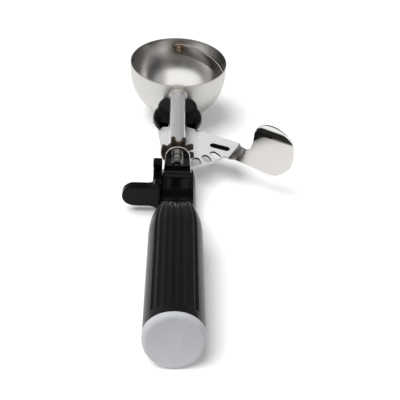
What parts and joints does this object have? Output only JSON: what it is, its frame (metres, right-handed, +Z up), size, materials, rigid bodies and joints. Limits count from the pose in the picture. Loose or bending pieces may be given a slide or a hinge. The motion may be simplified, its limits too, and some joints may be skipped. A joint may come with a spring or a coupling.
{
  "type": "lever ice cream scoop",
  "caption": "Ice cream scoop with a round steel bowl, a scraper blade turned by a rack and pinion, a thumb lever with an upright paddle, and a ribbed grip.",
  "frame": {"origin": "middle of the flat foot under the neck, on the surface that the scoop lies on", "axes": "+Y from the handle to the bowl, +Z up out of the bowl's mouth, +X to the side that the thumb lever stands on"},
  "size_m": [0.1059, 0.2709, 0.0484],
  "materials": {
    "polished_steel": "mirror polished stainless steel",
    "inner_steel": "plain turned steel",
    "dark_steel": "blackened sintered steel",
    "bush_brass": "plain turned",
    "black_plastic": "moulded, semi-gloss black",
    "cap_grey": "moulded, satin light grey"
  },
  "bodies": {
    "frame": {"bowl": "polished_steel", "bowl_saddle": "polished_steel", "far_rivet": "polished_steel", "shank_tube": "polished_steel", "front_bush": "bush_brass", "middle_bush": "bush_brass", "rear_bracket": "polished_steel", "rear_bush": "inner_steel", "bracket_screws": "inner_steel", "pivot_housing": "black_plastic", "pivot_screw": "inner_steel", "pivot_spacer": "bush_brass", "pivot_washer": "bush_brass", "lever_spring": "inner_steel", "frame_arm": "polished_steel", "housing_screw": "inner_steel", "handle_neck": "black_plastic", "thumb_rest": "black_plastic", "handle_grip": "black_plastic", "grip_washer": "inner_steel", "grip_nut": "inner_steel", "end_cap": "cap_grey"},
    "sweeper": {"sweep_shaft": "polished_steel", "scraper_blade": "polished_steel", "pinion": "dark_steel", "pinion_pin": "inner_steel", "retaining_ring": "inner_steel"},
    "lever": {"thumb_lever": "polished_steel"}
  },
  "joints": [
    {"name": "lever_press", "type": "hinge", "parent": "frame", "child": "lever", "pos_m": [0, 0.05388, 0.02045], "axis": [0, 0.0897, -0.996], "range_deg": [0, 34], "stiffness_Nm_per_rad": 0.2, "springref_deg": -45.84},
    {"name": "scraper_sweep", "type": "hinge", "parent": "frame", "child": "sweeper", "pos_m": [0, 0.11177, 0.0355], "axis": [0, 0.996, 0.0897], "range_deg": [0, 129.8]}
  ],
  "couplings": [
    {"joint": "scraper_sweep", "follows": "lever_press", "ratio": 3.8153}
  ]
}
